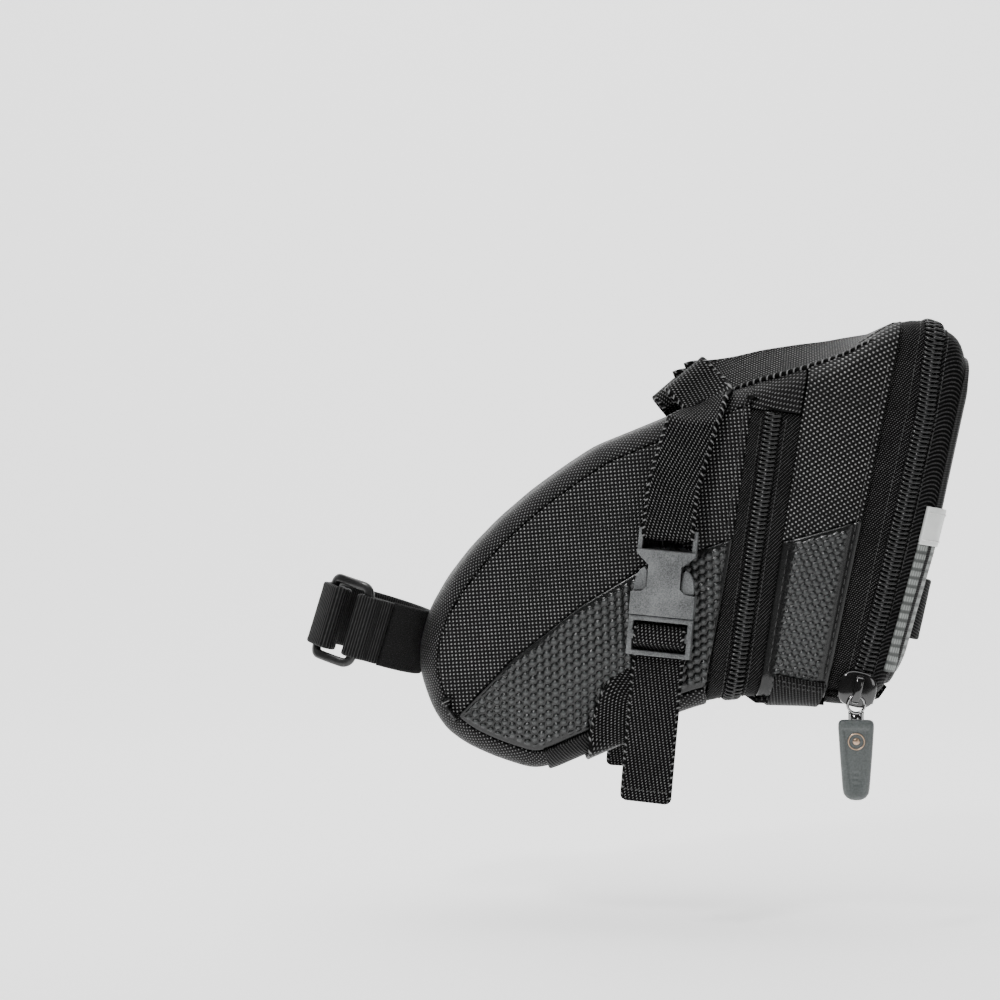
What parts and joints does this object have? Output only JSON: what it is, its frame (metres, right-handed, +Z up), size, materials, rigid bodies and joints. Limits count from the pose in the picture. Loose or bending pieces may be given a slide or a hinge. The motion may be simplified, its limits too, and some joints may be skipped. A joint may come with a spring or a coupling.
{
  "type": "saddle bag",
  "caption": "Wedge-shaped soft saddle bag with a zipped rear lid, an expansion zip, side-release rail straps and a hook-and-loop seat-post strap.",
  "frame": {"origin": "centre of the seat-post strap, on the seat post's axis", "axes": "+X rearward along the bicycle, +Z up, -Y towards the bicycle's left; the seat post leans 16.7 degrees rearward at the top"},
  "size_m": [0.2028, 0.1106, 0.147],
  "materials": {
    "ballistic_nylon": "basket weave, near black",
    "grip_vinyl": "raised round studs, satin charcoal",
    "ribbed_fabric": "fine ribs, black",
    "grey_webbing": "ribbed webbing, grey",
    "zip_tape": "herringbone tape, black",
    "zip_coil": "polished nylon coil, black",
    "lining": "plain weave, dark grey",
    "ribbon": "ribbed ribbon, black",
    "piping": "smooth cord, black",
    "reflective": "retroreflective tape, light grey",
    "acetal": "fine grained, dark grey",
    "hook_and_loop": "ribbed back, brushed loops, black",
    "webbing": "woven webbing, black",
    "slider_metal": "black enamel, glossy",
    "link_metal": "black nickel, glossy",
    "pull_rubber": "moulded, dark grey-green"
  },
  "bodies": {
    "front_pouch": {"left_side_panel": "ballistic_nylon", "right_side_panel": "ballistic_nylon", "left_grip_panel": "grip_vinyl", "right_grip_panel": "grip_vinyl", "nose_panel": "ballistic_nylon", "top_panel": "ballistic_nylon", "bottom_panel": "ballistic_nylon", "expansion_tape_front": "zip_tape", "expansion_coil_front": "zip_coil", "expansion_hinge_strip": "ballistic_nylon", "expansion_gusset": "lining", "front_lining": "lining", "front_bottom_band": "ribbon", "post_ring": "acetal", "post_strap_right": "hook_and_loop", "post_strap_left": "hook_and_loop", "left_rail_strap": "webbing", "right_rail_strap": "webbing", "left_rail_wrap": "webbing", "right_rail_wrap": "webbing", "strap_returns": "webbing", "left_buckle_female": "acetal", "right_buckle_female": "acetal", "left_lower_strap": "webbing", "right_lower_strap": "webbing"},
    "rear_section": {"left_rear_panel": "ballistic_nylon", "right_rear_panel": "ballistic_nylon", "left_rear_grip_panel": "grip_vinyl", "right_rear_grip_panel": "grip_vinyl", "rear_top_panel": "ballistic_nylon", "rear_bottom_panel": "ballistic_nylon", "expansion_coil_rear": "zip_coil", "expansion_tape_rear": "zip_tape", "main_tape_body": "zip_tape", "main_coil_body": "zip_coil", "lid_hinge_strip": "ballistic_nylon", "rear_lining": "lining", "rear_bottom_band": "ribbon", "strap_anchors": "webbing"},
    "rear_lid": {"main_coil_lid": "zip_coil", "main_tape_lid": "zip_tape", "lid_panel": "ribbed_fabric", "lid_lower_panel": "grey_webbing", "lid_piping": "piping", "reflective_strip": "reflective", "lid_lining": "lining", "light_clip_loop": "ribbon"},
    "main_slider": {"main_slider": "slider_metal"},
    "main_pull": {"main_pull_link": "link_metal", "main_pull_tab": "pull_rubber"},
    "expansion_slider": {"expansion_slider": "slider_metal"},
    "expansion_pull": {"expansion_pull": "link_metal"},
    "left_buckle_male": {"left_buckle_male": "acetal", "left_strap_tail": "webbing"},
    "left_prong_front": {"left_prong_front": "acetal"},
    "left_prong_rear": {"left_prong_rear": "acetal"},
    "right_buckle_male": {"right_buckle_male": "acetal", "right_strap_tail": "webbing"},
    "right_prong_front": {"right_prong_front": "acetal"},
    "right_prong_rear": {"right_prong_rear": "acetal"}
  },
  "joints": [
    {"name": "expansion_hinge", "type": "hinge", "parent": "front_pouch", "child": "rear_section", "pos_m": [0.1243, 0, 0.08109], "axis": [0, -1, 0], "range_deg": [0, 14], "deforming": ["expansion_gusset", "expansion_hinge_strip", "strap_returns"]},
    {"name": "lid_hinge", "type": "hinge", "parent": "rear_section", "child": "rear_lid", "pos_m": [0.14482, 0, -0.02197], "axis": [0, 1, 0], "range_deg": [0, 70], "deforming": ["lid_hinge_strip"]},
    {"name": "main_slider_run", "type": "slide", "parent": "rear_section", "child": "main_slider", "axis": [0.2187, -0.0098, 0.9758], "range_m": [0, 0.088], "deforming": ["main_coil_body", "main_coil_lid"]},
    {"name": "main_pull_swing", "type": "hinge", "parent": "main_slider", "child": "main_pull", "pos_m": [0.14552, -0.05519, -0.0177], "axis": [0.9951, -0.0985, 0], "range_deg": [-95, 0]},
    {"name": "expansion_slider_run", "type": "slide", "parent": "front_pouch", "child": "expansion_slider", "axis": [-0.1392, 0, -0.9903], "range_m": [0, 0.066], "deforming": ["expansion_coil_front", "expansion_coil_rear"]},
    {"name": "expansion_pull_swing", "type": "hinge", "parent": "expansion_slider", "child": "expansion_pull", "pos_m": [0.12019, 0.04796, 0.05551], "axis": [0.9806, 0.1961, 0], "range_deg": [0, 95]},
    {"name": "left_buckle_release", "type": "slide", "parent": "front_pouch", "child": "left_buckle_male", "axis": [-0.0855, 0.0171, -0.9962], "range_m": [0, 0.022], "deforming": ["left_lower_strap", "left_prong_front", "left_prong_rear"]},
    {"name": "left_prong_front_squeeze", "type": "hinge", "parent": "left_buckle_male", "child": "left_prong_front", "pos_m": [0.08299, -0.04404, 0.0064], "axis": [0.1961, 0.9806, 0], "range_deg": [0, 8], "stiffness_Nm_per_rad": 0.03},
    {"name": "left_prong_rear_squeeze", "type": "hinge", "parent": "left_buckle_male", "child": "left_prong_rear", "pos_m": [0.09413, -0.04627, 0.0054], "axis": [-0.1961, -0.9806, 0], "range_deg": [0, 8], "stiffness_Nm_per_rad": 0.03},
    {"name": "right_buckle_release", "type": "slide", "parent": "front_pouch", "child": "right_buckle_male", "axis": [-0.0855, -0.0171, -0.9962], "range_m": [0, 0.022], "deforming": ["right_lower_strap", "right_prong_front", "right_prong_rear"]},
    {"name": "right_prong_front_squeeze", "type": "hinge", "parent": "right_buckle_male", "child": "right_prong_front", "pos_m": [0.08299, 0.04404, 0.0064], "axis": [-0.1961, 0.9806, 0], "range_deg": [0, 8], "stiffness_Nm_per_rad": 0.03},
    {"name": "right_prong_rear_squeeze", "type": "hinge", "parent": "right_buckle_male", "child": "right_prong_rear", "pos_m": [0.09413, 0.04627, 0.0054], "axis": [0.1961, -0.9806, 0], "range_deg": [0, 8], "stiffness_Nm_per_rad": 0.03}
  ],
  "couplings": [
    {"joint": "left_prong_rear_squeeze", "follows": "left_prong_front_squeeze", "ratio": 1},
    {"joint": "right_prong_rear_squeeze", "follows": "right_prong_front_squeeze", "ratio": 1}
  ]
}
